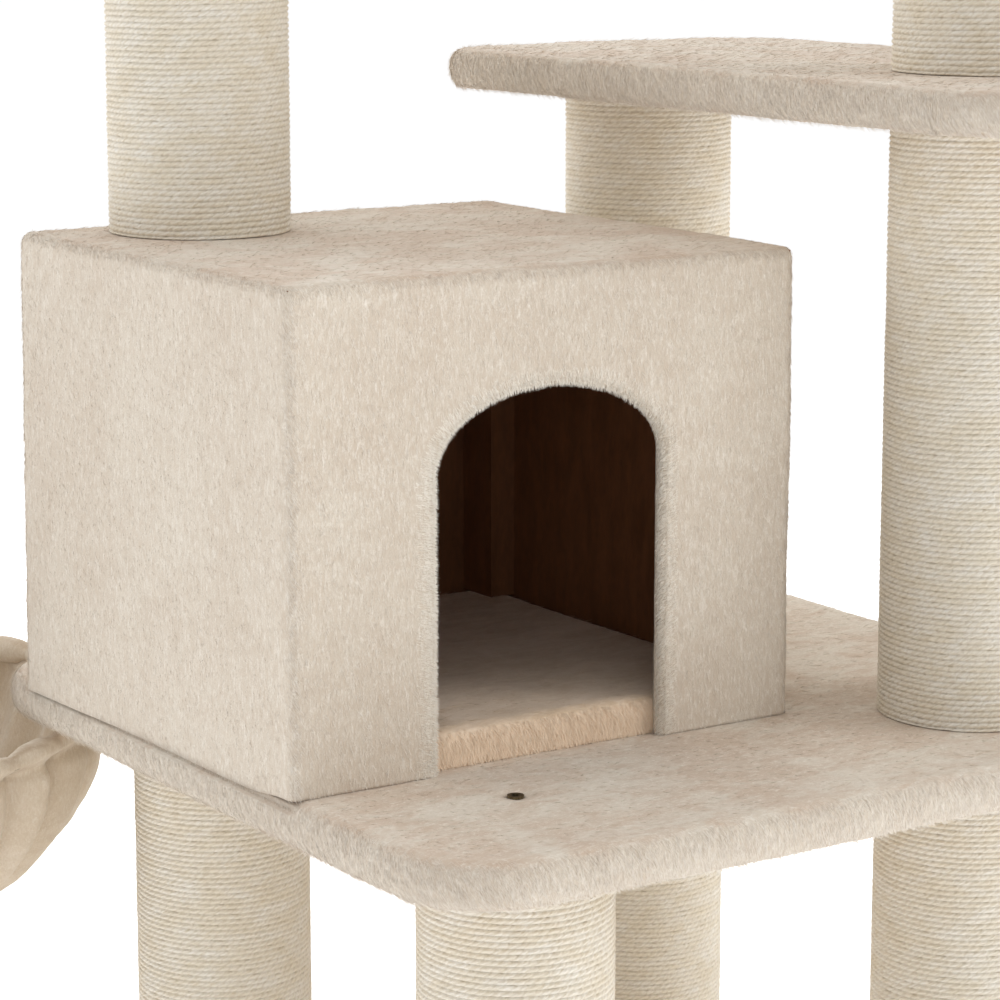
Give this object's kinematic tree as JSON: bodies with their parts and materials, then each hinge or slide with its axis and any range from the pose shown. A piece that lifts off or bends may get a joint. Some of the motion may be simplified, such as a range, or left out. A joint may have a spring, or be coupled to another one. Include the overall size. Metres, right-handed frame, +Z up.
{
  "type": "cat tree",
  "caption": "Tall cat tree with plush-covered decks on thick sisal-wound posts, a plush house with an arched doorway, a long shelf, perches and a hoop hammock.",
  "frame": {"origin": "centre of the base's underside, on the floor", "axes": "+Z up, +Y from the house's doorway side to its back, +X to the right seen from the doorway side"},
  "size_m": [1.1436, 1.1538, 1.584],
  "materials": {
    "plush": "soft short-pile plush",
    "sisal": "twisted natural rope, close wound",
    "board": "raw particle board",
    "hardboard": "bare brown hardboard",
    "cardboard": "matt",
    "steel": "dull, slightly yellow passivated",
    "clamp": "matt beige"
  },
  "bodies": {
    "root": {"base_board": "board", "base_bolt_back_left": "steel", "base_bolt_back_right": "steel", "base_bolt_front_left": "steel", "base_bolt_front_right": "steel", "base_cover": "plush", "deck_board": "board", "deck_bolt_front_left": "steel", "deck_bolt_washer": "steel", "deck_cover": "plush", "deck_stud_back_right": "steel", "deck_stud_front_right": "steel", "hammock_bowl": "plush", "hammock_clamp_back": "clamp", "hammock_clamp_front": "clamp", "hammock_hoop": "steel", "hammock_screw_back": "steel", "hammock_screw_front": "steel", "house_back": "hardboard", "house_batten_back_left": "hardboard", "house_batten_back_right": "hardboard", "house_batten_front_left": "hardboard", "house_batten_front_right": "hardboard", "house_cover": "plush", "house_floor_board": "board", "house_floor_bolt": "steel", "house_floor_cover": "plush", "house_front": "hardboard", "house_left": "hardboard", "house_right": "hardboard", "house_roof": "hardboard", "post_back_left_core": "cardboard", "post_back_left_sisal": "sisal", "post_back_right_core": "cardboard", "post_back_right_sisal": "sisal", "post_front_left_core": "cardboard", "post_front_left_sisal": "sisal", "post_front_right_core": "cardboard", "post_front_right_sisal": "sisal", "roof_perch_board": "board", "roof_perch_bolt": "steel", "roof_perch_cover": "plush", "roof_post_bolt": "steel", "roof_post_core": "cardboard", "roof_post_sisal": "sisal", "shelf_board": "board", "shelf_bolt_back": "steel", "shelf_cover": "plush", "shelf_post_back_core": "cardboard", "shelf_post_back_sisal": "sisal", "shelf_post_front_core": "cardboard", "shelf_post_front_sisal": "sisal", "shelf_stud_front": "steel", "top_perch_board": "board", "top_perch_bolt": "steel", "top_perch_cover": "plush", "top_post_core": "cardboard", "top_post_sisal": "sisal"}
  },
  "joints": []
}
